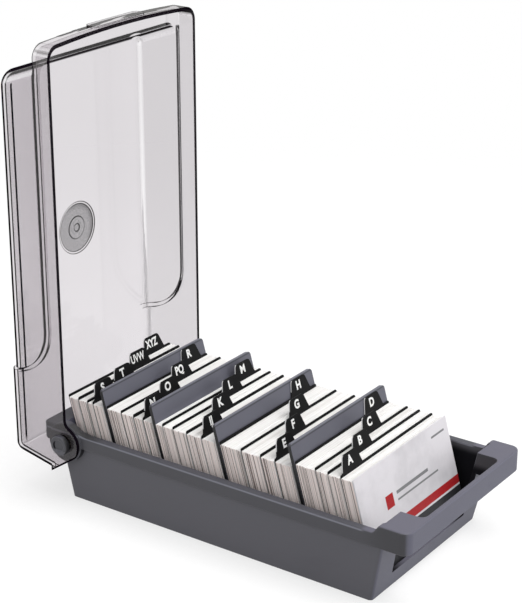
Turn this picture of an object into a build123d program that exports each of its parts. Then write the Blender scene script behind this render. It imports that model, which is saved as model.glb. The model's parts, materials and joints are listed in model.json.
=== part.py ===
"""Card file case: a tray with a pull handle, a clear lid on two hinge pins, leaning divider boards,
tabbed index cards and packs of cards. Millimetres, Z up, the front of the tray towards -Y.

The lid is drawn as it lies when shut and is then turned open about the hinge."""

import os
from math import acos, atan2, cos, hypot, radians, sin, sqrt, tan

from build123d import *

os.makedirs("parts", exist_ok=True)

# Cards
card_width = 90.0
card_height = 54.0
lean = radians(16)
index_thickness = 0.6
index_inset = 0.7
index_corner = 0.9
front_card_thickness = 0.5
tab_height = 8.6
tab_share = 0.82
tab_slope = 2.9
tab_corner = 2.2
tab_fillet = 1.2
tab_left = 1.8
tab_right = 5.4
tab_places = 4
card_gap = 0.1
front_gap = 0.25
# Each index card's letters and the share of the tray's length that the pack in front of it takes,
# from the rear to the front
sections = (
    (("xyz", 5.8), ("uvw", 5.4), ("t", 2.8), ("s", 6.5)),
    (("r", 8.6), ("pq", 7.4), ("o", 5.5), ("n", 5.5)),
    (("m", 5.8), ("l", 7.9), ("k", 8.7), ("ij", 8.3)),
    (("h", 12.2), ("g", 10.9), ("f", 7.9), ("e", 9.5)),
    (("d", 10.7), ("c", 6.5), ("b", 6.5), ("a", 6.5)),
)
spare_row = 2
spare_share = 3.9

# Divider boards
divider_inset = 0.6
divider_height = 62.5
divider_thickness = 1.9
divider_corner = 2.2
divider_gap = 0.25

# Tray
side_room = 4.4
floor_length = 191.2
floor_thickness = 4.0
front_step = 2.2
wall = 2.4
wall_top = 33.5
side_flare = 3.0
front_flare = 7.0
rear_flare = 4.6
tray_corner = 2.0
rim_height = 7.8
rim_lip = 2.55
rim_rounding = 0.9
flange_reach = 9.4
flange_height = 10.1
flange_corner = 3.0

# Handle
handle_reach = 15.6
handle_height = 12.3
handle_bar = 2.4
handle_corner = 5.0
handle_arm = 18.85
handle_gap_corner = 4.0
handle_ramp = 5.5
window_sill = 9.0
window_taper = 2.5

# Hinge
hinge_inset = 1.4
hinge_rise = 1.4
cheek_radius = 11.0
cheek_ramp = 11.0
pin_radius = 4.2
pin_clearance = 0.05
pin_head_radius = 5.6
pin_head_height = 3.0
pin_head_rounding = 0.7
pin_dish_radius = 3.6
pin_dish_depth = 0.6
ear_radius = 10.2

# Lid, as it lies when shut
lid_wall = 1.9
lid_clearance = 0.95
lid_drop = 0.1
lid_front_gap = 1.3
lid_headroom = 4.93
lid_bow = 2.5
lid_corner = 8.0
skirt_height = 11.3
skirt_rounding = 2.2
ledge_depth = 8.8
front_slope = 20.0
tip_reach = 18.8
tip_rise = 9.4
rear_slope = 11.2
top_rounding = 6.0
upper_front_corner = 9.0
upper_rear_corner = 6.5
recess_depth = 2.4
recess_stop = 62.2
recess_radius = 27.0
lid_side_gap = 0.3
disc_shift = 9.7
disc_radius = 14.8
disc_rise = 0.6
disc_rim = 1.2
disc_ring_radius = 6.4
disc_nub_radius = 2.2
thumb_pad_margin = 39.2
thumb_pad_height = 8.0
thumb_pad_rise = 0.7

# Widths that follow from the card's
index_width = card_width - 2 * index_inset
tab_foot = tab_share * index_width / tab_places
tab_pitch = (index_width - tab_left - tab_foot - tab_right) / (tab_places - 1)
divider_width = card_width - 2 * divider_inset
floor_width = card_width + 2 * (wall + side_room)
rim_width = floor_width + 2 * (side_flare + rim_lip)
handle_gap = rim_width - 2 * handle_arm
window_width = handle_gap - 2 * window_taper
lid_width = rim_width + 2 * (lid_wall + lid_clearance)
lid_half = lid_width / 2
thumb_pad_width = lid_width - 2 * thumb_pad_margin

# Lengths that follow from the floor's
handle_front = floor_length / 2 + front_flare + handle_reach
rear_flange_end = floor_length / 2 + rear_flare + flange_reach
hinge_y = floor_length / 2 - hinge_inset
rear_tip_y = hinge_y + tip_reach
lid_front = handle_front + lid_wall + lid_front_gap
lid_top_front = lid_front - ledge_depth
disc_y = (hinge_y - lid_front) / 2 + disc_shift
recess_end = hinge_y - recess_stop
reach = 4 * floor_length

# Heights that follow
rim_top = wall_top + rim_height
rear_flange_top = wall_top + flange_height
handle_top = wall_top + handle_height
cavity_top = handle_top + rim_top
hinge_z = wall_top + hinge_rise
step_top = floor_thickness + front_step
rise_z = card_height * cos(lean)
rise_y = card_height * sin(lean)
tallest = max(card_height + tab_height, divider_height)
lid_bottom = wall_top - lid_drop
lid_top = floor_thickness + tallest * cos(lean) + lid_headroom + lid_wall
skirt_top = lid_bottom + skirt_height
rear_tip_z = hinge_z + tip_rise


def wall_half_width(z):
    return floor_width / 2 + side_flare * z / wall_top


def wall_front(z):
    return -floor_length / 2 - front_flare * z / wall_top


def wall_rear(z):
    return floor_length / 2 + rear_flare * z / wall_top


def tray_outline(z, inset):
    """Draw the tray's level outline at height z, moved in by inset."""
    front = wall_front(z) + inset
    rear = wall_rear(z) - inset
    with Locations((0, (front + rear) / 2)):
        RectangleRounded(2 * (wall_half_width(z) - inset), rear - front, tray_corner)


# The contents fill the floor from the rear rim to the front wall. A foot is where a piece's back face,
# drawn down along its lean, meets the rear part of the floor; the front section stands on a low step.
rear_edge = wall_rear(rear_flange_top) - wall
rear_foot = rear_edge - (rear_flange_top - floor_thickness) * tan(lean) - card_gap
step_shift = front_step * tan(lean)
front_edge = wall_front(step_top) + wall - step_shift
index_depth = index_thickness / cos(lean) + card_gap
board_depth = divider_thickness / cos(lean) + 2 * divider_gap
front_depth = front_card_thickness / cos(lean) + front_gap
shares = [share for section in sections for letters, share in section] + [spare_share]
boards = len(sections) - 1
index_cards = len(shares) - 1
taken = index_cards * index_depth + boards * board_depth + len(shares) * card_gap + front_depth
depth_per_share = (rear_foot - front_edge - taken) / sum(shares)
front_share = sum(share for letters, share in sections[-1])
front_rows = len(sections[-1])
front_packs = front_share * depth_per_share + front_rows * (index_depth + card_gap)
step_end = front_edge + front_depth + front_packs + board_depth - divider_gap

# The tray: flared walls, a rim band that climbs to the handle and the hinge, then its openings
cheek_top = hinge_z + cheek_radius
cheek_face = lid_half - lid_wall - lid_side_gap
cheek_root = wall_half_width(wall_top) - 2 * wall
cheek_ramp_end = hinge_y - cheek_ramp - cheek_radius / 2
flange_ramp_end = hinge_y + cheek_radius / 2
handle_back = wall_front(handle_top) + wall
ramp_end = handle_back + handle_ramp
pocket_inner = handle_gap / 2 + wall
pocket_outer = rim_width / 2 - wall
pocket_front = handle_front - handle_bar
pocket_rear = -wall_front(wall_top) + card_gap
channel_front = wall_rear(rear_flange_top) + card_gap
channel_rear = rear_flange_end - wall

with BuildPart() as tray:
    with BuildSketch(Plane.YZ):
        with BuildLine():
            Line((-handle_front, wall_top), (rear_flange_end, wall_top))
            Line((rear_flange_end, wall_top), (rear_flange_end, rear_flange_top))
            Line((rear_flange_end, rear_flange_top), (flange_ramp_end, rear_flange_top))
            Bezier(
                (flange_ramp_end, rear_flange_top),
                ((hinge_y + flange_ramp_end) / 2, rear_flange_top),
                ((hinge_y + flange_ramp_end) / 2, cheek_top),
                (hinge_y, cheek_top),
            )
            Bezier(
                (hinge_y, cheek_top),
                (hinge_y - cheek_ramp / 2, cheek_top),
                (hinge_y - cheek_ramp / 2, rim_top),
                (cheek_ramp_end, rim_top),
            )
            Line((cheek_ramp_end, rim_top), (ramp_end, rim_top))
            Bezier(
                (ramp_end, rim_top),
                ((ramp_end + handle_back) / 2, rim_top),
                ((ramp_end + handle_back) / 2, handle_top),
                (handle_back, handle_top),
            )
            Line((handle_back, handle_top), (-handle_front, handle_top))
            Line((-handle_front, handle_top), (-handle_front, wall_top))
        make_face()
    extrude(amount=rim_width / 2, both=True)
    upright = tray.edges().filter_by(Axis.Z)
    fillet(upright.group_by(Axis.Y)[0], handle_corner)
    fillet(upright.group_by(Axis.Y)[-1], flange_corner)
    rim_sides = tray.faces().filter_by(Axis.X)
    fillet(rim_sides.edges().filter_by(Axis.Z, reverse=True), rim_rounding)
    with BuildSketch(Plane.XY):
        tray_outline(0, 0)
    with BuildSketch(Plane.XY.offset((wall_top + rim_top) / 2)):
        tray_outline((wall_top + rim_top) / 2, 0)
    loft(ruled=True)
    for side in (-1, 1):
        with BuildSketch(Plane.YZ.offset(side * cheek_root)):
            with Locations((hinge_y, hinge_z)):
                Circle(cheek_radius)
        extrude(amount=side * (cheek_face - cheek_root))
    with BuildSketch(Plane.XY.offset(floor_thickness)):
        tray_outline(floor_thickness, wall)
    with BuildSketch(Plane.XY.offset(cavity_top)):
        tray_outline(cavity_top, wall)
    loft(ruled=True, mode=Mode.SUBTRACT)
    with BuildSketch(Plane.YZ):
        with BuildLine():
            Polyline(
                (wall_front(floor_thickness) + wall / 2, floor_thickness / 2),
                (step_end, floor_thickness / 2),
                (step_end, step_top),
                (wall_front(floor_thickness) + wall / 2, step_top),
                close=True,
            )
        make_face()
    extrude(amount=floor_width / 2 - wall / 2, both=True)
    with BuildSketch(Plane.XZ.offset(handle_front - handle_bar)):
        with BuildLine():
            Polyline(
                (-window_width / 2, window_sill),
                (window_width / 2, window_sill),
                (handle_gap / 2, wall_top),
                (handle_gap / 2, cavity_top),
                (-handle_gap / 2, cavity_top),
                (-handle_gap / 2, wall_top),
                close=True,
            )
        make_face()
    extrude(amount=-handle_front / 4, mode=Mode.SUBTRACT)
    gap_corners = tray.edges().filter_by(Axis.Z)
    gap_corners = gap_corners.filter_by_position(Axis.Y, -pocket_front - card_gap, -pocket_front + card_gap)
    fillet(gap_corners, handle_gap_corner)
    with BuildSketch(Plane.XY.offset(wall_top)):
        with Locations(
            (-(pocket_inner + pocket_outer) / 2, -(pocket_front + pocket_rear) / 2),
            ((pocket_inner + pocket_outer) / 2, -(pocket_front + pocket_rear) / 2),
        ):
            RectangleRounded(pocket_outer - pocket_inner, pocket_front - pocket_rear, handle_corner - wall)
    extrude(amount=handle_top - wall_top - wall, mode=Mode.SUBTRACT)
    with BuildSketch(Plane.XY.offset(wall_top)):
        with Locations((0, (channel_front + channel_rear) / 2)):
            RectangleRounded(2 * cheek_root, channel_rear - channel_front, flange_corner / 2)
    extrude(amount=rear_flange_top - wall_top - wall, mode=Mode.SUBTRACT)
    with BuildSketch(Plane.YZ):
        with Locations((hinge_y, hinge_z)):
            Circle(pin_radius)
    extrude(amount=lid_width, both=True, mode=Mode.SUBTRACT)
tray.part.label = "tray"
export_step(tray.part, "parts/tray.step")


# The hinge pins: a shank pressed into the cheek and a dished head outside the lid's ear
head_seat = lid_half + lid_side_gap
head_face = head_seat + pin_head_height
dish_floor = head_face - pin_dish_depth
for name, side in (("hinge_pin_left", -1), ("hinge_pin_right", 1)):
    with BuildPart() as hinge_pin:
        with BuildSketch(Plane.XY.offset(hinge_z)):
            with BuildLine():
                Polyline(
                    (side * cheek_root, hinge_y),
                    (side * cheek_root, hinge_y + pin_radius),
                    (side * head_seat, hinge_y + pin_radius),
                    (side * head_seat, hinge_y + pin_head_radius),
                    (side * head_face, hinge_y + pin_head_radius),
                    (side * head_face, hinge_y + pin_dish_radius),
                    (side * dish_floor, hinge_y + pin_dish_radius - pin_dish_depth),
                    (side * dish_floor, hinge_y),
                    close=True,
                )
            make_face()
        revolve(axis=Axis((0, hinge_y, hinge_z), (1, 0, 0)))
        rims = hinge_pin.edges().filter_by(GeomType.CIRCLE).group_by(SortBy.RADIUS)[-1]
        fillet(rims, pin_head_rounding)
    hinge_pin.part.label = name
    export_step(hinge_pin.part, f"parts/{name}.step")


# The lid: an outer form less the same form moved in by the wall, trimmed to its side profile
def lid_form(inset):
    """The lid's filled form as it lies shut, moved in by inset on every side but the open one."""
    depth = lid_bottom - 2 * ear_radius
    slope = tan(radians(front_slope))
    rear = tan(radians(rear_slope))
    side = inset / cos(radians(front_slope))
    back = inset / cos(radians(rear_slope))
    top = lid_top - inset
    front_low = -lid_top_front + side + slope * (depth - skirt_top)
    front_high = -lid_top_front + side + slope * (top - skirt_top)
    rear_low = rear_tip_y - back - rear * (depth - rear_tip_z)
    rear_high = rear_tip_y - back - rear * (top - rear_tip_z)
    bodies = []
    for half in (lid_half - recess_depth - inset, lid_half - inset):
        with BuildPart() as upper:
            with BuildSketch(Plane.YZ):
                with BuildLine():
                    Polyline(
                        (front_low, depth),
                        (rear_low, depth),
                        (rear_high, top),
                        (front_high, top),
                        close=True,
                    )
                make_face()
            extrude(amount=half, both=True)
            uprights = upper.edges().filter_by(Axis.X, reverse=True).filter_by(Axis.Y, reverse=True)
            fillet(uprights.group_by(Axis.Y)[0], upper_front_corner - inset)
            fillet(uprights.group_by(Axis.Y)[-1], upper_rear_corner - inset)
            fillet(upper.faces().sort_by(Axis.Z)[-1].edges(), top_rounding - inset)
        bodies.append(upper.part)
    with BuildPart() as form:
        add(bodies[1])
        with BuildSketch(Plane.YZ):
            with BuildLine():
                Polyline(
                    (-reach, skirt_top - inset),
                    (recess_end, skirt_top - inset),
                )
                CenterArc((recess_end, skirt_top + recess_radius), recess_radius + inset, -90, 90)
                Polyline(
                    (recess_end + recess_radius + inset, skirt_top + recess_radius),
                    (recess_end + recess_radius + inset, reach),
                    (-reach, reach),
                    (-reach, skirt_top - inset),
                )
            make_face()
        extrude(amount=reach, both=True, mode=Mode.SUBTRACT)
        add(bodies[0])
    with BuildPart() as skirt:
        with BuildSketch(Plane.XY.offset(depth)):
            with BuildLine():
                half = lid_half - inset
                edge = -lid_front + inset
                Line((half, edge), (half, rear_tip_y + wall))
                Line((half, rear_tip_y + wall), (-half, rear_tip_y + wall))
                Line((-half, rear_tip_y + wall), (-half, edge))
                ThreePointArc((-half, edge), (0, edge - lid_bow), (half, edge))
            make_face()
        extrude(amount=skirt_top - inset - depth)
        fillet(skirt.edges().filter_by(Axis.Z).group_by(Axis.Y)[0], lid_corner - inset)
        ledge = skirt.faces().sort_by(Axis.Z)[-1].edges().sort_by(Axis.Y)
        fillet(ledge[:-1], skirt_rounding - inset)
    return form.part + skirt.part


ear_start = hinge_y - sqrt(ear_radius**2 - (hinge_z - lid_bottom) ** 2)
tip_y = rear_tip_y - hinge_y
tip_z = rear_tip_z - hinge_z
tip_turn = atan2(tip_z, tip_y) - acos(ear_radius / hypot(tip_y, tip_z))
ear_end_y = hinge_y + ear_radius * cos(tip_turn)
ear_end_z = hinge_z + ear_radius * sin(tip_turn)
rear_over = 2 * lid_top - rear_tip_z

with BuildPart() as lid:
    add(lid_form(0))
    add(lid_form(lid_wall), mode=Mode.SUBTRACT)
    with BuildSketch(Plane.YZ):
        with BuildLine():
            Line((-reach, lid_bottom), (ear_start, lid_bottom))
            ThreePointArc((ear_start, lid_bottom), (hinge_y, hinge_z - ear_radius), (ear_end_y, ear_end_z))
            Polyline(
                (ear_end_y, ear_end_z),
                (rear_tip_y, rear_tip_z),
                (rear_tip_y - rear_over * tan(radians(rear_slope)), rear_tip_z + rear_over),
                (-reach, rear_tip_z + rear_over),
                (-reach, lid_bottom),
            )
        side_profile = make_face()
        fillet(side_profile.vertices().sort_by_distance((ear_start, lid_bottom))[0], ear_radius / 2)
    extrude(amount=reach, both=True, mode=Mode.INTERSECT)
    with BuildSketch(Plane.XZ.offset(lid_front + lid_bow + thumb_pad_rise)):
        with Locations((0, (lid_bottom + skirt_top) / 2)):
            SlotOverall(thumb_pad_width, thumb_pad_height)
    extrude(amount=-thumb_pad_rise - lid_wall)
    with BuildSketch(Plane.XY.offset(lid_top)):
        with Locations((0, disc_y)):
            Circle(disc_radius)
    extrude(amount=disc_rise / 2)
    with BuildSketch(Plane.XY.offset(lid_top)):
        with Locations((0, disc_y)):
            Circle(disc_radius - disc_rim)
            Circle(disc_ring_radius, mode=Mode.SUBTRACT)
            Circle(disc_nub_radius)
    extrude(amount=disc_rise)
    with BuildSketch(Plane.YZ):
        with Locations((hinge_y, hinge_z)):
            Circle(pin_radius + pin_clearance)
    extrude(amount=reach, both=True, mode=Mode.SUBTRACT)
lid_open = lid.part.rotate(Axis((0, hinge_y, hinge_z), (1, 0, 0)), -90)
lid_open.label = "lid"
export_step(lid_open, "parts/lid.step")


# The contents stand on the floor and lean back, from the rear rim to the front card
def leaning(foot, rise):
    """The plane of a leaning card's back face, from its lower edge, rise above the rear part of the floor."""
    low_edge = (0, foot + rise * tan(lean), floor_thickness + rise)
    return Plane(origin=low_edge, x_dir=(1, 0, 0), z_dir=(0, -cos(lean), sin(lean)))


def index_card(foot, rise, place):
    """A card with one tab, in one of the places counted from the left."""
    half = index_width / 2
    left = tab_left - half + place * tab_pitch
    right = left + tab_foot
    top = card_height + tab_height
    with BuildPart() as card:
        with BuildSketch(leaning(foot, rise)) as outline:
            with BuildLine():
                Polyline(
                    (-half, 0),
                    (half, 0),
                    (half, card_height),
                    (right, card_height),
                    (right - tab_slope, top),
                    (left + tab_slope, top),
                    (left, card_height),
                    (-half, card_height),
                    close=True,
                )
            make_face()
            roots = outline.vertices().group_by(Axis.Y)[1].sort_by(Axis.X)[1:-1]
            fillet(roots, tab_fillet)
            shoulder = outline.vertices().group_by(Axis.Y)[1].sort_by(Axis.X)
            fillet([shoulder[0], shoulder[-1]], index_corner)
            fillet(outline.vertices().group_by(Axis.Y)[-1], tab_corner)
        extrude(amount=index_thickness)
    return card.part


def card_pack(foot, rise, depth):
    """A pack of cards that all stand on the floor, so that its ends are level and its faces lean."""
    low = floor_thickness + rise
    back = foot + rise * tan(lean)
    with BuildPart() as pack:
        with BuildSketch(Plane.YZ):
            with BuildLine():
                Polyline(
                    (back, low),
                    (back - depth, low),
                    (back - depth + rise_y, low + rise_z),
                    (back + rise_y, low + rise_z),
                    close=True,
                )
            make_face()
        extrude(amount=card_width / 2, both=True)
    return pack.part


def divider_board(foot, rise):
    """A plain board with rounded upper corners."""
    with BuildPart() as board:
        with BuildSketch(leaning(foot, rise)) as outline:
            with Locations((0, divider_height / 2)):
                Rectangle(divider_width, divider_height)
            fillet(outline.vertices().group_by(Axis.Y)[-1], divider_corner)
        extrude(amount=divider_thickness)
    return board.part


def keep(piece, name):
    piece.label = name
    export_step(piece, f"parts/{name}.step")


foot = rear_foot
rise = 0
for row, section in enumerate(sections):
    if row == spare_row:
        keep(card_pack(foot, rise, spare_share * depth_per_share), "card_pack_spare")
        foot -= spare_share * depth_per_share + card_gap
    for number, (letters, share) in enumerate(section):
        keep(index_card(foot, rise, tab_places - 1 - number), f"index_card_{letters}")
        foot -= index_depth
        keep(card_pack(foot, rise, share * depth_per_share), f"card_pack_{letters}")
        foot -= share * depth_per_share + card_gap
    if row == boards - 1:
        rise = front_step
    if row < boards:
        keep(divider_board(foot - divider_gap, rise), f"divider_{boards - row}")
        foot -= board_depth

with BuildPart() as front_card:
    with BuildSketch(leaning(foot, rise)):
        with Locations((0, card_height / 2)):
            Rectangle(card_width, card_height)
    extrude(amount=front_card_thickness)
keep(front_card.part, "front_card")
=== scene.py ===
# %% [markdown]
# A desk card file, dressed for its picture
#
# The case is a grey tray with a pull handle, a smoky clear lid that stands open, four divider boards,
# twenty tabbed index cards and the packs of cards between them. The measured model of all its pieces is
# loaded first and stays where it is. This lesson gives each piece its finish, and swaps the plain blocks
# that stand for packs of cards for real stacks, card by card.

# %% Load the measured model
import json
import random
from math import cos, radians, sin

import bpy
from mathutils import Matrix, Vector


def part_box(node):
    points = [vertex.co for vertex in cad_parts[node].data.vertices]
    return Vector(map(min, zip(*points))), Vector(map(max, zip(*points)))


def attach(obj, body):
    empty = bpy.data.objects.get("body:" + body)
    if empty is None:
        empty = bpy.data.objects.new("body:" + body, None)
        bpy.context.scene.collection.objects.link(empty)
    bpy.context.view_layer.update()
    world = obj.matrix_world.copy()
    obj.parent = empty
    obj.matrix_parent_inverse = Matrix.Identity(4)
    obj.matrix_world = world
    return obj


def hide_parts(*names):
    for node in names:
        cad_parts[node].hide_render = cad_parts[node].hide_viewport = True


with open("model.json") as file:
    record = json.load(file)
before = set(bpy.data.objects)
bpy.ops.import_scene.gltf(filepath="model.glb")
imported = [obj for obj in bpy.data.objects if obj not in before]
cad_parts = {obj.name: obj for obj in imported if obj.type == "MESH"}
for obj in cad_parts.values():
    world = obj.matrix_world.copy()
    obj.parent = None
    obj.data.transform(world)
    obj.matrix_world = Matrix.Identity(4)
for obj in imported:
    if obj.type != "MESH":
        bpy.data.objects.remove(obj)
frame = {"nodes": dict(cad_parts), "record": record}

scene = bpy.context.scene
scene.view_settings.view_transform = "Standard"
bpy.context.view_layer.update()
body_of_node = {
    node: body
    for body, nodes in frame["record"]["behaviour"]["bodies"].items()
    for node in nodes
}

# %% [markdown]
# The camera
#
# The photographer stood to the front left of the case, a little above it, with a long lens. A camera could
# be turned by eye until the picture looks right. This one is placed from a fit of the tray's, the lid's and
# the boards' corners, so that every piece falls where it should. The lens is given in millimetres for a
# 36 mm wide sensor, and the two angles are in degrees.

# %% Set up the camera
camera_place = (-0.69517, -0.48126, 0.45367)
camera_turn = -54.938
camera_tilt = 21.604
camera_lens = 105.46
sensor_width = 36
nearest_seen = 0.01

bpy.ops.object.camera_add(
    location=camera_place,
    rotation=(radians(90 - camera_tilt), 0, radians(camera_turn)),
)
camera = bpy.context.object
camera.name = "camera"
camera.data.lens = camera_lens
camera.data.sensor_width = sensor_width
camera.data.clip_start = nearest_seen
scene.camera = camera
print("camera at", tuple(round(v, 3) for v in camera.location))

# %% [markdown]
# Shader sums
#
# A finish is a small network of nodes. Written node by node, even "one minus the mask" takes three lines,
# so a socket is wrapped in a class whose operators add the Math nodes for us. Every other node comes from
# one function, which takes the kind of node, its settings and what goes into its sockets.


# %% A socket that takes part in sums
class Term:
    """A shader socket. Each operator on it adds one Math node to the same tree."""

    def __init__(self, socket):
        self.socket = socket

    def sum_node(self, operation, first, second):
        tree = self.socket.id_data
        return add_node(tree, "ShaderNodeMath", {"operation": operation}, {0: first, 1: second})

    def __add__(self, other):
        return self.sum_node("ADD", self, other)

    def __radd__(self, other):
        return self.sum_node("ADD", other, self)

    def __sub__(self, other):
        return self.sum_node("SUBTRACT", self, other)

    def __rsub__(self, other):
        return self.sum_node("SUBTRACT", other, self)

    def __mul__(self, other):
        return self.sum_node("MULTIPLY", self, other)

    def __rmul__(self, other):
        return self.sum_node("MULTIPLY", other, self)

    def __pow__(self, other):
        return self.sum_node("POWER", self, other)

    def larger(self, other):
        return self.sum_node("MAXIMUM", self, other)

    def smaller(self, other):
        return self.sum_node("MINIMUM", self, other)


# %% Any other node
def add_node(tree, kind, settings=None, sockets=None, result=0):
    """Add a node, set it up, fill its sockets with values or Terms, and give back one of its results."""
    node = tree.nodes.new(kind)
    for name, value in (settings or {}).items():
        setattr(node, name, value)
    for name, value in (sockets or {}).items():
        if isinstance(value, Term):
            tree.links.new(value.socket, node.inputs[name])
        else:
            node.inputs[name].default_value = value
    return Term(node.outputs[result])


# %% [markdown]
# A finish
#
# Each material on this object starts from the same shader, and most of them need the same few things. Some
# tell about the surface: where a point is on the piece, which way it faces, and how near it is to an edge.
# Others paint it: noise at a given grain, a soft step, a blend of two colours, a bump. All of it could be
# joined up by hand in the shader editor, once for each material. Here these things get short names, so
# that each finish below reads like a description of the surface.


# %% What a surface can tell
class Surface:
    """A node material with one main shader, and the nodes that tell where its points are."""

    def __init__(self, name, **fixed):
        self.material = bpy.data.materials.new(name)
        self.material.use_nodes = True
        self.tree = self.material.node_tree
        self.tree.nodes.clear()
        self.shader = self.tree.nodes.new("ShaderNodeBsdfPrincipled")
        self.main = Term(self.shader.outputs[0])
        for socket, value in fixed.items():
            self.shader.inputs[socket.replace("_", " ")].default_value = value
        self.end = self.tree.nodes.new("ShaderNodeOutputMaterial")
        self.tree.links.new(self.main.socket, self.end.inputs[0])

    def node(self, kind, settings=None, sockets=None, result=0):
        return add_node(self.tree, kind, settings, sockets, result)

    def parts(self, vector):
        return [self.node("ShaderNodeSeparateXYZ", None, {0: vector}, axis) for axis in "XYZ"]

    def place(self):
        """The point on the piece, as three Terms in metres."""
        return self.parts(self.node("ShaderNodeTexCoord", result="Object"))

    def way_out(self):
        """The direction that the surface faces, as three Terms."""
        return self.parts(self.node("ShaderNodeTexCoord", result="Normal"))

    def unsigned(self, value):
        return self.node("ShaderNodeMath", {"operation": "ABSOLUTE"}, {0: value})

    def facing(self):
        """How much the surface faces along the piece's X, Y and Z, either way, as three Terms."""
        return [self.unsigned(part) for part in self.way_out()]

    def edges(self, radius):
        """A normal with its edges rounded, and how far it is from the true one."""
        rounded = self.node("ShaderNodeBevel", {"samples": 6}, {"Radius": radius})
        flat = self.node("ShaderNodeNewGeometry", result="Normal")
        compare = {"operation": "DOT_PRODUCT"}
        alike = self.node("ShaderNodeVectorMath", compare, {0: rounded, 1: flat}, "Value")
        return rounded, 1 - alike


# %% What can be painted on it
class Finish(Surface):
    """A surface with the means to paint it."""

    def noise(self, scale, detail=3.0, stretch=(1, 1, 1), rough=0.5):
        point = self.node("ShaderNodeTexCoord", result="Object")
        point = self.node("ShaderNodeMapping", None, {"Vector": point, "Scale": stretch})
        sockets = {"Vector": point, "Scale": scale, "Detail": detail, "Roughness": rough}
        return self.node("ShaderNodeTexNoise", None, sockets)

    def step(self, value, low, high):
        """Nought below low, one above high and a smooth change between."""
        settings = {"interpolation_type": "SMOOTHSTEP"}
        sockets = {"Value": value, "From Min": low, "From Max": high}
        return self.node("ShaderNodeMapRange", settings, sockets)

    def band(self, value, low, high, soft=0.0001):
        """One between low and high, and nought elsewhere."""
        above_low = self.step(value, low - soft, low + soft)
        return above_low * (1 - self.step(value, high - soft, high + soft))

    def blend(self, amount, first, second):
        """A colour between two colours, which are sockets 6 and 7 of a Mix node, as its result 2."""
        mix = {0: amount, 6: first, 7: second}
        return self.node("ShaderNodeMix", {"data_type": "RGBA"}, mix, 2)

    def bump(self, height, distance, strength, normal=None):
        sockets = {"Height": height, "Distance": distance, "Strength": strength}
        if normal:
            sockets["Normal"] = normal
        return self.node("ShaderNodeBump", None, sockets)

    def mix_shaders(self, amount, first, second):
        """Mix two shaders, and lead the mix to the surface."""
        both = self.node("ShaderNodeMixShader", None, {0: amount, 1: first, 2: second})
        self.tree.links.new(both.socket, self.end.inputs[0])
        return both

    def feed(self, **terms):
        """Join terms to the main shader's sockets."""
        for socket, term in terms.items():
            self.tree.links.new(term.socket, self.shader.inputs[socket.replace("_", " ")])
        return self.material


# %% Putting a finish on
def dress(finish, *nodes):
    """Give measured nodes a finish."""
    for name in nodes:
        node = frame["nodes"][name]
        node.data.materials.clear()
        node.data.materials.append(finish)
    print(finish.name, "on", len(nodes), "nodes")


# %% [markdown]
# Grey moulded plastic
#
# The tray, its hinge pins and the divider boards are moulded in satin grey plastic. Up close the surface
# has a very fine grain from the mould, and the edges are a little smoother and lighter, partly where hands
# and cards rub them and partly as a painted highlight. Those edges could be painted by hand. A bevel node
# finds them by itself, because it compares the true surface with a rounded one, and the same rounded
# surface takes the hardness off the corners. Each kind of piece then adds its own lighter and darker
# places, some of them painted light and shade.


# %% Mix a grey plastic
def scaled(colour, *shares):
    """A colour with all its parts times one share, or red, green and blue times one each."""
    red, green, blue = shares * 3 if len(shares) == 1 else shares
    return (colour[0] * red, colour[1] * green, colour[2] * blue, 1)


def grey_plastic(name, colour, worn_highlight, grain, own_places):
    """A satin plastic with a fine grain and lighter edges, partly worn and partly a painted highlight, in
    one colour and a lighter one for the edges.
    """
    finish = Finish(name, IOR=1.48)
    rounded, sharp = finish.edges(0.0007)
    clouds = finish.noise(38, 4)
    scuffs = finish.step(finish.noise(120, 6, (1, 0.25, 1), 0.62), 0.56, 0.74)
    # Lighter edges, partly from wear and partly a painted highlight.
    rubbed_and_highlit = (finish.step(sharp, 0.02, 0.35) * (0.35 + clouds)).smaller(1.0)
    shade = finish.blend(clouds, scaled(colour, 0.92), scaled(colour, 1.08))
    shade, rubbed_and_highlit = own_places(finish, shade, rubbed_and_highlit, colour, worn_highlight)
    tone = finish.blend(rubbed_and_highlit, shade, worn_highlight)
    normal = finish.bump(finish.noise(grain, 2), 0.00012, 0.35, rounded)
    rough = 0.46 + 0.1 * clouds - 0.1 * rubbed_and_highlit + 0.08 * scuffs
    return finish.feed(Base_Color=tone, Roughness=rough, Normal=normal)


# %% [markdown]
# The boards
#
# The divider boards are sheets of the same plastic, a little bluer than the tray. Their cut side edges are
# painted nearly black, as painted shade for the narrow gaps between the packs, and get no lighter edge,
# and a fine dark line runs just below the top edge. The edges could be faces with a material of their own.
# The way that a face looks tells them just as well, so one material does for all boards. The front board
# stands on a step in the floor, so its line is higher than the others.

# %% Finish the boards
board_colour = (0.108, 0.109, 0.137, 1)
board_worn_highlight = (0.21, 0.22, 0.26, 1)
board_grain = 1900
board_edge_shade_share = 0.06
board_line_share = 0.3
line_low, line_high = 0.0012, 0.0005
line_soft = 0.0002
front_board_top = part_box("divider_1")[1]
other_board_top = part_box("divider_2")[1]


def line_below(finish, height, top):
    return finish.band(height, top - line_low, top - line_high, line_soft)


def board_places(finish, shade, rubbed_and_highlit, colour, worn_highlight):
    depth, height = finish.place()[1:]
    on_side = finish.step(finish.facing()[0], 0.6, 0.9)
    behind_front = finish.step(depth, front_board_top[1], front_board_top[1] + 0.002)
    front_line = line_below(finish, height, front_board_top[2]) * (1 - behind_front)
    other_line = line_below(finish, height, other_board_top[2]) * behind_front
    top_line = front_line.larger(other_line) * 0.8
    # The side edges get painted shade, nearly black.
    shade = finish.blend(on_side, shade, scaled(colour, board_edge_shade_share))
    shade = finish.blend(top_line, shade, scaled(colour, board_line_share))
    return shade, rubbed_and_highlit * (1 - on_side) * (1 - top_line)


board_grey = grey_plastic("board_grey", board_colour, board_worn_highlight, board_grain, board_places)
dress(board_grey, "divider_1", "divider_2", "divider_3", "divider_4")
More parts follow.
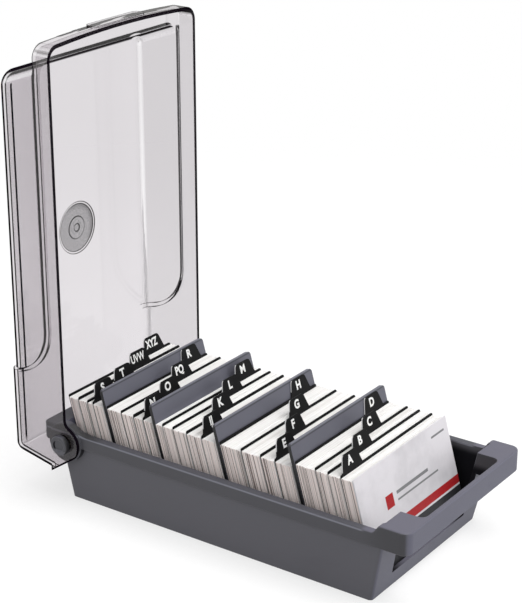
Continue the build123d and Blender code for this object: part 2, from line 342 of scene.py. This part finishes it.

# %% [markdown]
# The tray
#
# The tray is one moulding, and its tone changes from place to place. The band of the rim is darker than
# the wall, with a painted shadow under its lip and a painted highlight along its top, and darker still on
# the blocks of the handle. Faces that look forward get painted light, lighter and bluer, faces that look up
# a painted bluish light, and the top of the rim is dark. The ramp up to the hinge gets painted shade. The
# hollow gets painted shade, nearly black, so there the plastic is mixed with a dull black shader that has
# no gloss to light it up. All of this could be painted on a map. A point's place and the way it faces are
# enough to tell these places apart, and they give sharp lines at any size.

# %% Tone the tray's rim
rim_foot = 0.0335
rim_highlight_low, rim_highlight_high = rim_foot + 0.0067, rim_foot + 0.0080
lip_shadow_low, lip_shadow_high = rim_foot - 0.0009, rim_foot + 0.0002
handle_rear = (-0.094, -0.091)


def rim_tones(finish, shade, colour, worn_highlight, place, way):
    """Darken the band of the rim, the handle's blocks and the cheek, paint a shadow under the lip, and
    paint a highlight along the top edge.
    """
    depth, height = place[1:]
    on_side = finish.step(finish.unsigned(way[0]), 0.6, 0.9)
    band = finish.step(height, rim_foot, rim_foot + 0.0003) * on_side
    block = band * (1 - finish.step(depth, -0.107, -0.088))
    cheek = band * finish.step(depth, 0.098, 0.102)
    for part, share in ((band, 0.62), (block, 0.40), (cheek, 0.82)):
        shade = finish.blend(part, shade, scaled(colour, share))
    # A painted highlight along the rim's top edge, in the worn colour.
    rim_highlight = finish.band(height, rim_highlight_low, rim_highlight_high, line_soft) * on_side
    shade = finish.blend(rim_highlight * finish.step(depth, *handle_rear), shade, worn_highlight)
    # A painted shadow under the rim's lip.
    lip_shadow = finish.band(height, lip_shadow_low, lip_shadow_high, line_soft) * on_side
    return finish.blend(lip_shadow, shade, scaled(colour, 0.5))


# %% Find where the tray's hollow gets painted shade
hollow_top = (rim_foot + 0.002, rim_foot + 0.0065)
floor_top = (0.010, 0.014)
floor_ends = (0.020, 0.036)
outside_walls = (0.0525, 0.0535)


def near_hinge(finish, depth):
    """One on the ramp up to the hinge and on the round front of its cheek."""
    return finish.step(depth, 0.066, 0.080) * (1 - finish.step(depth, 0.0905, 0.0925))


def painted_hollow_shade(finish, place, way):
    """One where shade is painted: on the faces that look into the tray, and on its floor near the side
    walls.
    """
    across, depth, height = place
    aside = finish.unsigned(across)
    side, end = [finish.node("ShaderNodeMath", {"operation": "SIGN"}, {0: p}) for p in (across, depth)]
    inward = (0 - way[0] * side).larger(0 - way[1] * end)
    # Painted shade on the walls that look into the tray and on the floor near the side walls.
    wall_shade = finish.step(inward, 0.35, 0.7) * (1 - finish.step(height, *hollow_top))
    floor_shade = finish.step(way[2], 0.5, 0.9) * (1 - finish.step(height, *floor_top))
    floor_shade = floor_shade * finish.step(aside, *floor_ends)
    outside = near_hinge(finish, depth) * finish.step(aside, *outside_walls)
    return wall_shade.larger(floor_shade) * (1 - outside)


# %% Tone the tray's faces
def face_tones(finish, shade, colour, place, way, hollow_shade):
    """Paint light on what looks forward and a bluish light on what looks up, darken the top of the rim, and
    paint shade on the ramp up to the hinge.
    """
    across, depth = place[:2]
    # Painted light on the faces that look forward, and a painted bluish light on the faces that look up.
    painted_front_light = finish.step(0 - way[1], 0.5, 0.9) * (1 - hollow_shade)
    painted_top_light = finish.step(way[2], 0.5, 0.9) * (1 - hollow_shade)
    rim_top = painted_top_light * finish.step(depth, *handle_rear)
    # Painted shade on the ramp up to the hinge.
    ramp = finish.step((0 - way[1]).larger(way[2]), 0.3, 0.6) * near_hinge(finish, depth)
    ramp = ramp * finish.step(finish.unsigned(across), 0.046, 0.048)
    shade = finish.blend(painted_front_light, shade, scaled(colour, 1.32, 1.34, 1.54))
    shade = finish.blend(painted_top_light, shade, scaled(colour, 0.96, 0.94, 1.08))
    shade = finish.blend(rim_top, shade, scaled(colour, 0.48, 0.49, 0.52))
    return finish.blend(ramp, shade, scaled(colour, 0.14))


# %% Finish the tray
tray_colour = (0.092, 0.091, 0.107, 1)
tray_worn_highlight = (0.17, 0.173, 0.205, 1)
tray_grain = 2600
black_shade_colour = (0.006, 0.006, 0.008, 1)
rubbed_and_highlit_zone = (rim_foot - 0.012, rim_foot - 0.004)


def tray_places(finish, shade, rubbed_and_highlit, colour, worn_highlight):
    place, way = finish.place(), finish.way_out()
    hollow_shade = painted_hollow_shade(finish, place, way)
    shade = rim_tones(finish, shade, colour, worn_highlight, place, way)
    # Painted shade in the hollow, and a dull black shader mixed in there as painted shade.
    shade = finish.blend(hollow_shade * 0.85, shade, scaled(colour, 0.12))
    shade = face_tones(finish, shade, colour, place, way, hollow_shade)
    black_shade = finish.node("ShaderNodeBsdfDiffuse", None, {"Color": black_shade_colour})
    finish.mix_shaders(hollow_shade * 0.92, finish.main, black_shade)
    return shade, rubbed_and_highlit * finish.step(place[2], *rubbed_and_highlit_zone)


tray_grey = grey_plastic("tray_grey", tray_colour, tray_worn_highlight, tray_grain, tray_places)
dress(tray_grey, "tray", "hinge_pin_left", "hinge_pin_right")

# %% [markdown]
# Smoky clear plastic
#
# The lid is clear plastic with a little black in it. A wall lets about three quarters of the light
# through. Where it is seen edge on, at its rim, its creases, its steps and its round edges, the light has a
# longer way through the plastic and most of it is lost, which draws the dark lines that show the lid's
# shape. A glass shader could bend the light and lose it for real, but it is slow, grainy and hard to
# steer. Here a tinted film lets the light through, and a cover of dark plastic is mixed in along those
# lines: the rim and the steps are told by their place, the creases by the bevel node, and the round edges
# by how they bend away from the eye.

# %% Measure the lid
lid_rim = 0.0927
lid_low, lid_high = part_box("lid")
lid_half = (lid_high[0] - lid_low[0]) / 2

clear = Finish("smoky_clear", IOR=1.49, Specular_IOR_Level=0.0)
across, depth, height = clear.place()
aside = clear.unsigned(across)
to_side, to_back, to_end = clear.facing()
bend = 1 - to_side.larger(to_back).larger(to_end)
turned = clear.node("ShaderNodeLayerWeight", None, {"Blend": 0.5}, "Facing")
inner_side = clear.node("ShaderNodeNewGeometry", result="Backfacing")
print("half width of the lid:", round(lid_half, 4))

# %% Find the lid's rim, creases and round edges
rim = 1 - clear.step(depth, lid_rim + 0.0002, lid_rim + 0.0005)
rim = rim * (1 - clear.step(to_side, 0.5, 0.8))
sharp = clear.edges(0.0006)[1]
skirt_step = clear.band(depth, 0.0998, 0.1054) * clear.step(aside, lid_half - 0.0078, lid_half - 0.0072)
crease = clear.step(sharp, 0.01, 0.08) * (1 - skirt_step)
corner = clear.step(turned, 0.72, 0.97)
round_edge = clear.step(bend, 0.022, 0.035) * clear.step(turned - 0.15 * to_end, 0.41, 0.50)
print("rim of the lid at", lid_rim)

# %% Find the steps in its walls and the edge of its ears
ear_edge_depth, ear_edge_height = 0.1036, 0.0161
off_ear_edge = (0.565, 0.825)

below_top = 1 - clear.step(height, lid_high[2] - 0.0155, lid_high[2] - 0.0145)
wall_step = clear.step(1 - to_side, 0.08, 0.25) * clear.band(aside, lid_half - 0.0027, lid_half - 0.0005)
wall_step = wall_step * (1 - clear.step(depth, 0.1230, 0.1240)) * below_top
outer_wall = clear.step(aside, lid_half - 0.0010, lid_half - 0.0008)
outer_wall = outer_wall.larger(clear.band(aside, lid_half - 0.0026, lid_half - 0.0022))
inner_corner = outer_wall * clear.band(depth, 0.1193, 0.1206) * to_side * (1 - inner_side)
inner_corner = inner_corner * below_top * clear.step(height, 0.028, 0.034)
from_ear_edge = (depth - ear_edge_depth) * off_ear_edge[0] + (height - ear_edge_height) * off_ear_edge[1]
ear_edge = 1 - clear.step(from_ear_edge, 0.0008, 0.0010)
ear_edge = ear_edge * clear.step(aside, lid_half - 0.004, lid_half - 0.003)
print("top of the lid at", round(lid_high[2], 4))

# %% [markdown]
# Dark lines and bright streaks
#
# Where the lid's corners turn, a dark streak and a bright one run side by side, and the flat top is a
# little brighter along its two long sides. They could be left to the lamps, but then each would need a
# lamp of its own. Painted by how the surface bends, they stay on the corners in every view.

# %% Gather the lines and streaks
round_turn = to_end * clear.step(bend, 0.01, 0.06) * (1 - clear.step(to_back, 0.1, 0.3))
dark_streak = clear.band(round_turn, 0.52, 0.66, 0.03)
bright_streak = clear.band(round_turn, 0.30, 0.46, 0.04)
lines = (crease, corner * 0.7, round_edge, wall_step, inner_corner, ear_edge, dark_streak * 0.45)
dark = rim
for line in lines:
    dark = dark.larger(line)
bright = clear.step(bend, 0.02, 0.29) * (1 - clear.step(turned, 0.25, 0.5))
bright = bright.larger(bright_streak)
bright = bright + 0.22 * to_back * clear.step(aside, lid_half - 0.026, lid_half - 0.006)
print("dark lines:", 1 + len(lines))

# %% [markdown]
# The frosted spot
#
# The round spot on the lid's top is frosted and speckled, with a clear margin, a ring and a dimple. Its
# upper right side lies in shade. The rings are steps in the measured model. Thin dark lines are laid over
# them, because in a clear film their small shadows would be lost.

# %% Frost the spot
spot_height = 0.1330
spot_level = 0.1290
spot_radius = 0.0148
frost_radius = spot_radius - 0.0012
ring_radius = 0.0064
dimple_radius = 0.0022

above_spot = height - spot_height
from_spot = (across * across + above_spot * above_spot) ** 0.5
on_spot_level = clear.step(depth, spot_level, spot_level + 0.0004)


def spot_ring(radius, half_width=0.0003):
    return clear.band(from_spot, radius - half_width, radius + half_width, 0.00015) * on_spot_level


frost = (1 - clear.step(from_spot, frost_radius - 0.0003, frost_radius)) * on_spot_level
shaded = clear.step(across * 0.8 + above_spot * 0.6, -0.002, 0.008)
crescent = frost * clear.step(from_spot, frost_radius - 0.004, frost_radius) * shaded
rings = spot_ring(spot_radius).larger(spot_ring(frost_radius))
rings = rings.larger(spot_ring(ring_radius)).larger(spot_ring(dimple_radius, 0.0004))
rings = rings * (0.4 + 0.6 * shaded)
print("frost to a radius of", round(frost_radius, 4))

# %% [markdown]
# Light through the lid
#
# Last come the film, the cover and the gloss. The cover is thin on a flat wall, where it stands for haze
# and fine scratches, and nearly shut along the dark lines. The gloss lies on the outer side alone. It is
# weak where the wall faces the eye and strong where it turns away, as on any clear plastic.

# %% Mix the smoky clear plastic
film_colour = (0.896, 0.880, 0.894, 1)
haze_colour = (0.11, 0.10, 0.085, 1)
frost_colour = (0.13, 0.13, 0.135, 1)
line_colour = (0.005, 0.003, 0.006, 1)

haze = clear.noise(14, 3)
speckle = clear.noise(1100, 3)
scratches = clear.step(clear.noise(160, 5, (6, 1, 0.4), 0.6), 0.60, 0.75)
tint = clear.blend(frost, haze_colour, frost_colour)
tint = clear.blend(dark.larger(rings * 0.9), tint, line_colour)
cover = 0.035 + 0.03 * haze + 0.015 * scratches + 0.055 * to_side + 0.95 * dark
cover = cover + (0.30 + 0.5 * speckle) * frost + 0.6 * rings + 0.2 * crescent - 0.05 * bright
cover = cover.larger(0.0).smaller(0.98)
rough = 0.06 + 0.05 * haze + 0.10 * scratches + 0.4 * frost
waves = clear.bump(clear.noise(24, 2), 0.0006, 0.15)
smoky_clear = clear.feed(Base_Color=tint, Roughness=rough, Normal=waves)

film = clear.node("ShaderNodeBsdfTransparent", None, {"Color": film_colour})
wall = clear.mix_shaders(cover, film, clear.main)
sheen = clear.node("ShaderNodeBsdfGlossy", None, {"Roughness": 0.08, "Color": (1, 1, 1, 1)})
shine = (0.03 + 0.34 * bright + 0.5 * turned ** 5) * (1 - inner_side) * (1 - dark)
clear.mix_shaders(shine, wall, sheen)
dress(smoky_clear, "lid")

# %% [markdown]
# Black index card
#
# The index cards are black card with a faint fibre and a matt face. The side edges of their tabs catch the
# light and show pale. A bevel there would be too small to see, so the edge is simply given its own tone:
# it is what faces sideways above the foot of the tab.

# %% Mix the black card
tab_foot = (0.0585, 0.0590)

black = Finish("black_card", IOR=1.45, Specular_IOR_Level=0.12)
fibre = black.noise(900, 5, (1, 1, 0.4), 0.7)
patches = black.noise(60, 3)
mottle = fibre * 0.7 + patches * 0.3
tone = black.blend(mottle, (0.003, 0.003, 0.0032, 1), (0.010, 0.010, 0.0105, 1))
tab_edge = black.step(black.facing()[0], 0.25, 0.5) * black.step(black.place()[2], *tab_foot)
tone = black.blend(tab_edge, tone, (0.55, 0.55, 0.56, 1))
rise = black.bump(fibre, 0.0001, 0.5)
black_card = black.feed(Base_Color=tone, Roughness=0.5 + 0.15 * patches, Normal=rise)
index_nodes = sorted(n for n in frame["nodes"] if n.startswith("index_card_"))
dress(black_card, *index_nodes)

# %% [markdown]
# White card
#
# A pack is a stack of cards that were printed and cut at different times, so no two edges have quite the
# same white. There could be a material for each shade. Instead, each card carries its own shade as an
# attribute of its mesh, which this one finish reads. The cut sides show the shade far more than the faces
# do, and the paper's fibre is a fine bump.

# %% Mix the white card
white = Finish("white_card", IOR=1.45)
shade = white.node("ShaderNodeAttribute", {"attribute_name": "shade"}, result="Fac")
fibre = white.noise(700, 4)
face_tone = white.blend(1 - 0.15 * (1 - shade), (0.33, 0.28, 0.24, 1), (0.86, 0.85, 0.84, 1))
side_tone = white.blend(shade, (0.19, 0.14, 0.13, 1), (0.97, 0.85, 0.82, 1))
tone = white.blend(white.facing()[0], face_tone, side_tone)
tone = white.blend(0.10 * fibre, tone, (0.66, 0.64, 0.62, 1))
rise = white.bump(fibre, 0.00008, 0.4)
white_card = white.feed(Base_Color=tone, Roughness=0.55 + 0.2 * fibre, Normal=rise)
print(white_card.name, "mixed")

# %% [markdown]
# One loose card
#
# A card is a thin sheet with cleanly cut edges. It could be a scaled cube, but a plane that is given its
# size and then extruded by the thickness of the card keeps the foot of the card at the origin, where it
# turns. It is modelled once, standing on its lower edge and leaning back. All other cards are copies of it.

# %% Model the card
lean = radians(16)
card_wide = 0.0896
card_high = 0.0529
card_thick = 0.00034


def deselect():
    bpy.ops.object.select_all(action="DESELECT")


deselect()
bpy.ops.mesh.primitive_plane_add(size=1, location=(0, 0, 0))
card = bpy.context.object
card.name = "loose_card"
bpy.ops.object.mode_set(mode="EDIT")
bpy.ops.mesh.select_all(action="SELECT")
bpy.ops.transform.resize(value=(card_wide, card_high, 1))
bpy.ops.transform.translate(value=(0, card_high / 2, 0))
bpy.ops.mesh.extrude_region_move(TRANSFORM_OT_translate={"value": (0, 0, card_thick)})
bpy.ops.mesh.select_all(action="SELECT")
bpy.ops.mesh.normals_make_consistent(inside=False)
bpy.ops.object.mode_set(mode="OBJECT")
card.data.transform(Matrix.Rotation(radians(90) - lean, 4, "X"))
card.data.materials.append(white_card)
print("card:", len(card.data.polygons), "faces")

# %% [markdown]
# Stacks of cards
#
# In the measured model each pack is one block. Its box gives the floor line of its front and rear faces,
# and the stack fills that space with copies of the loose card. Each one stands a little higher or lower,
# further left or right, and has its own shade; now and then a thin gap opens. An array modifier would make
# all cards alike, so a loop places them. The dice are seeded, so the stacks come out the same every time.

# %% Place one card
drops = (0, 0, 0, 0, 0.0002, 0.0004)
side_slip = 0.0002
shades = (1.0, 1.0, 0.96, 0.9, 0.8, 0.68, 0.3, 0.0)


def place_card(dice, foot, floor_level):
    """Copy the loose card to its foot line, with a drop, a slip and a shade from the dice."""
    copy = card.copy()
    copy.data = card.data.copy()
    scene.collection.objects.link(copy)
    drop = dice.choice(drops)
    copy.data.transform(Matrix.Diagonal((1, 1, 1 - drop / card_high, 1)))
    copy.data.transform(Matrix.Translation((dice.uniform(-side_slip, side_slip), foot, floor_level)))
    tone = dice.choice(shades)
    marks = copy.data.attributes.new("shade", "FLOAT", "POINT")
    marks.data.foreach_set("value", [tone] * len(copy.data.vertices))
    return copy


# %% Fill the packs
pack_high = 0.054
gaps = (0.00002, 0.00002, 0.00003, 0.00012)
first_seed = 400


def stack_cards(pack, seed):
    """Fill a pack's block with cards, from its rear face to its front face."""
    dice = random.Random(seed)
    low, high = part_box(pack)
    foot = high[1] - pack_high * sin(lean)
    front = low[1] + card_thick
    copies = []
    while foot > front:
        copies.append(place_card(dice, foot, low[2]))
        foot -= card_thick / cos(lean) + dice.choice(gaps)
    deselect()
    for copy in copies:
        copy.select_set(True)
    bpy.context.view_layer.objects.active = copies[0]
    bpy.ops.object.join()
    stack = bpy.context.object
    stack.name = pack.replace("card_pack", "card_stack")
    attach(stack, body_of_node[pack])
    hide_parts(pack)
    return len(copies)


pack_nodes = sorted(n for n in frame["nodes"] if n.startswith("card_pack_"))
counts = {pack: stack_cards(pack, first_seed + number) for number, pack in enumerate(pack_nodes)}
bpy.data.objects.remove(card)
print("cards in the packs:", sum(counts.values()))

# %% [markdown]
# Letters on the tabs
#
# Each tab shows the letters of its section in white. They could be painted into the black card, but a
# letter is hard to write in shader sums. A text is set in the built-in type, thickened a little, made a
# mesh, and laid on the front of its tab. The tab's place is read from the index card's own points: the
# highest of them are the tab's top edge.

# %% Mix the white ink
ink = Finish("white_ink", IOR=1.45)
rubbed_ink = ink.noise(1500, 4)
tone = ink.blend(rubbed_ink, (0.78, 0.78, 0.77, 1), (0.93, 0.93, 0.92, 1))
white_ink = ink.feed(Base_Color=tone, Roughness=0.45 + 0.15 * rubbed_ink)
print(white_ink.name, "mixed")

# %% Set one text
letter_high = 0.0045
capital_share = 0.7
ink_thick = 0.00003
stroke_growth = 0.00026
wide_letter_growth = 0.00016
width_shares = {1: 0.95, 2: 0.84, 3: 0.76}


def set_text(letters):
    """Set letters as a mesh in the XY plane, with their middle at the origin."""
    deselect()
    bpy.ops.object.text_add(location=(0, 0, 0))
    text = bpy.context.object
    text.data.body = letters
    text.data.size = letter_high / capital_share
    text.data.offset = wide_letter_growth if set(letters) & set("MW") else stroke_growth
    text.data.extrude = ink_thick
    text.data.align_x = "CENTER"
    text.data.resolution_u = 4
    bpy.ops.object.convert(target="MESH")
    mark = bpy.context.object
    mark.name = "letters_" + letters.lower()
    mark.data.transform(Matrix.Translation((0, -letter_high / 2, 0)))
    mark.data.transform(Matrix.Diagonal((width_shares[len(letters)], 1, 1, 1)))
    return mark


# %% Lay the letters on the tabs
tab_centre = pack_high + 0.0050
tab_top_depth = 0.0004
letter_shift = 0.0008
letter_proud = 0.00004


def letter_tab(node):
    """Set the letters of one index card on its tab."""
    letters = node.rsplit("_", 1)[1].upper()
    low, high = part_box(node)
    points = frame["nodes"][node].data.vertices
    tops = [v.co.x for v in points if v.co.z > high[2] - tab_top_depth]
    middle = (min(tops) + max(tops)) / 2
    mark = set_text(letters)
    mark.data.transform(Matrix.Rotation(radians(90) - lean, 4, "X"))
    foot = Vector((middle - letter_shift, low[1], low[2]))
    mark.data.transform(Matrix.Translation(foot + tab_centre * Vector((0, sin(lean), cos(lean)))))
    mark.data.transform(Matrix.Translation(letter_proud * Vector((0, -cos(lean), sin(lean)))))
    mark.data.materials.clear()
    mark.data.materials.append(white_ink)
    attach(mark, body_of_node[node])
    return letters


print("letters:", " ".join(letter_tab(node) for node in index_nodes))

# %% [markdown]
# The front card
#
# The foremost card faces the room. It is a pale card with a soft grey mottle, plain grey bars, a red chip
# and a red line, and its foot is painted charcoal as painted shade low in the tray. All of it is straight,
# so it
# needs no picture: each mark is a band across the card times a band up it, and the distance up the leaning
# card is worked out from depth and height.

# %% Rule the front card
grey_bars = (
    ((0.0335, 0.0352), (-0.012, 0.019)),
    ((0.0300, 0.0310), (-0.012, 0.028)),
    ((0.0475, 0.0486), (0.028, 0.041)),
)
red_chip = ((0.0290, 0.0360), (-0.0225, -0.0155))
red_line = (0.0170, 0.0215)
foot_shade_line = (0.0158, 0.0160)

print_face = Finish("front_print", IOR=1.46, Specular_IOR_Level=0.15)
across, depth, height = print_face.place()
front_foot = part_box("front_card")[0]
up = (depth - front_foot[1]) * sin(lean) + (height - front_foot[2]) * cos(lean)


def printed(rows, columns):
    return print_face.band(up, *rows) * print_face.band(across, *columns)


first_bar, second_bar, third_bar = [printed(*bar) for bar in grey_bars]
bars = first_bar.larger(second_bar).larger(third_bar)
red = printed(*red_chip).larger(print_face.band(up, *red_line))
print("bars on the front card:", len(grey_bars))

# %% Print the front card
mottle = print_face.step(print_face.noise(26, 5, (1, 1, 1), 0.6), 0.42, 0.66)
grain = print_face.noise(800, 3)
paper = print_face.blend(mottle, (0.79, 0.765, 0.80, 1), (0.66, 0.64, 0.67, 1))
paper = print_face.blend(bars, paper, (0.22, 0.22, 0.23, 1))
paper = print_face.blend(red, paper, (0.42, 0.006, 0.010, 1))
# The card's foot is painted charcoal, as painted shade low in the tray.
paper = print_face.blend(1 - print_face.step(up, *foot_shade_line), paper, (0.018, 0.018, 0.022, 1))
paper = print_face.blend(grain * 0.06, paper, (0.5, 0.5, 0.5, 1))
front_print = print_face.feed(Base_Color=paper, Roughness=0.34 + 0.12 * grain)
dress(front_print, "front_card")

# %% [markdown]
# Floor and light
#
# The picture was taken on white, so the floor and the sky both read as white to the camera, and in
# reflections. More light on the case would bleach it. Instead, the floor glows a little for the eye alone
# and is lit for the rest, so the case keeps its tones and still throws a soft shadow. A wide lamp above
# gives most of the light, and two weaker ones fill the front and the left.


# %% Tell the eye from the light
def seen_by_eye(tree):
    """One for what the camera sees, straight, in a mirror or through glass, and nought for light."""
    kinds = ("Is Camera Ray", "Is Glossy Ray", "Is Transmission Ray")
    straight, mirrored, passed = [add_node(tree, "ShaderNodeLightPath", result=kind) for kind in kinds]
    return straight.larger(mirrored).larger(passed)


# %% Lay the floor
floor_size = 6
floor_level = -0.0002
glow_ring = (0.25, 0.7)
near_glow = (0.64, 0.64, 0.64, 1)
no_light, full_white = (0, 0, 0, 1), (1, 1, 1, 1)

deselect()
bpy.ops.mesh.primitive_plane_add(size=floor_size, location=(0, 0, floor_level))
floor = bpy.context.object
floor.name = "floor"
ground = Finish("white_floor", Roughness=0.9, Specular_IOR_Level=0.0, Emission_Strength=1.0)
eye = seen_by_eye(ground.tree)
away_x, away_y = ground.place()[:2]
far = ground.step((away_x * away_x + away_y * away_y) ** 0.5, *glow_ring)
lit = ground.blend(ground.noise(300, 3), (0.34, 0.34, 0.34, 1), (0.36, 0.36, 0.36, 1))
glow = ground.blend(far, near_glow, full_white)
ground.feed(Base_Color=ground.blend(far * eye, lit, no_light))
ground.feed(Emission_Color=ground.blend(eye, no_light, glow))
floor.data.materials.append(ground.material)
print("floor:", floor_size, "m wide")

# %% Make the sky
sky_light = 0.6

sky = bpy.data.worlds.new("studio")
scene.world = sky
sky.use_nodes = True
sky.node_tree.nodes.clear()
strength = sky_light + (1 - sky_light) * seen_by_eye(sky.node_tree)
white_sky = {"Color": full_white, "Strength": strength}
glow = add_node(sky.node_tree, "ShaderNodeBackground", None, white_sky)
sky_end = sky.node_tree.nodes.new("ShaderNodeOutputWorld")
sky.node_tree.links.new(glow.socket, sky_end.inputs[0])
print("sky:", sky.name)

# %% Hang the lamps
lamp_aim = (0, 0, 0.05)


def lamp(name, place, size, power):
    """A square lamp, in metres and watts, turned to the case."""
    bpy.ops.object.light_add(type="AREA", location=place)
    light = bpy.context.object
    light.name = name
    light.rotation_euler = (Vector(lamp_aim) - Vector(place)).to_track_quat("-Z", "Y").to_euler()
    light.data.size = size
    light.data.energy = power


lamp("top_lamp", (0.2, -0.35, 1.5), 1.3, 18.5)
lamp("front_lamp", (0.6, -1.5, 0.7), 1.0, 4.5)
lamp("left_lamp", (-1.3, -0.2, 0.9), 0.9, 5)
